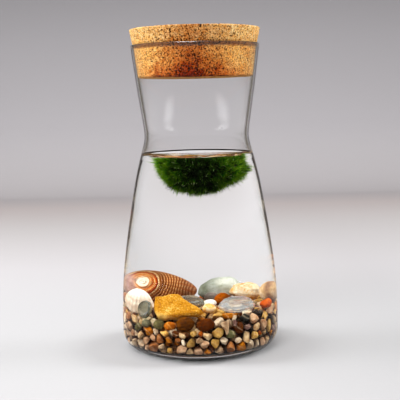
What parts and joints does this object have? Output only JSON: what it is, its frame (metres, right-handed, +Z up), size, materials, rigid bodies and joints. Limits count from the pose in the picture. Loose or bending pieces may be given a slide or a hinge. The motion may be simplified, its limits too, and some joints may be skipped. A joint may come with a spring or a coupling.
{
  "type": "marimo moss ball in a corked glass jar",
  "caption": "Marimo moss clump floating in a waisted glass jar of water with a cork stopper, over gravel, pebbles, glass nuggets and seashells.",
  "frame": {"origin": "middle of the jar's flat foot, on the surface that it stands on", "axes": "+Z up along the jar's axis; -Y is the front, where the yellow stone lies against the glass; +X is to the right seen from the front"},
  "size_m": [0.1048, 0.1048, 0.2122],
  "materials": {
    "clear_glass": "clear, smooth",
    "cork": "agglomerated cork, fine grain with dark pits",
    "water": "clear",
    "moss": "fine filaments",
    "gravel": "mixed rounded gravel, wet",
    "snail_shell": "ribbed, worn, satin",
    "white_shell": "ribbed, satin",
    "yellow_stone": "granular sandstone",
    "clear_nugget": "clear, glossy",
    "green_nugget": "smoky green, glossy",
    "grey_green_stone": "smooth, wet",
    "grey_stone": "smooth, wet",
    "red_brown_stone": "broken faces, wet",
    "cream_stone": "rough, layered",
    "striped_stone": "smooth, banded",
    "orange_stone": "broken faces, wet",
    "white_stone": "smooth",
    "peach_stone": "smooth, veined",
    "olive_stone": "smooth, wet",
    "dark_green_stone": "smooth, wet",
    "rust_stone": "smooth, wet",
    "brown_stone": "smooth, wet"
  },
  "bodies": {
    "root": {"glass_jar": "clear_glass", "cork_stopper": "cork", "water": "water", "moss_ball": "moss", "gravel_bed": "gravel", "snail_shell": "snail_shell", "white_shell": "white_shell", "yellow_stone": "yellow_stone", "glass_nugget_left": "green_nugget", "glass_nugget_middle": "green_nugget", "glass_nugget_right": "clear_nugget", "green_pebble": "grey_green_stone", "small_grey_pebble": "grey_stone", "red_brown_stone": "red_brown_stone", "cream_rock": "cream_stone", "striped_pebble": "striped_stone", "orange_stone": "orange_stone", "white_pebble": "white_stone", "peach_pebble": "peach_stone", "olive_pebble": "olive_stone", "dark_green_pebble": "dark_green_stone", "rust_pebble": "rust_stone", "brown_pebble_left": "brown_stone", "brown_pebble_right": "brown_stone"}
  },
  "joints": []
}
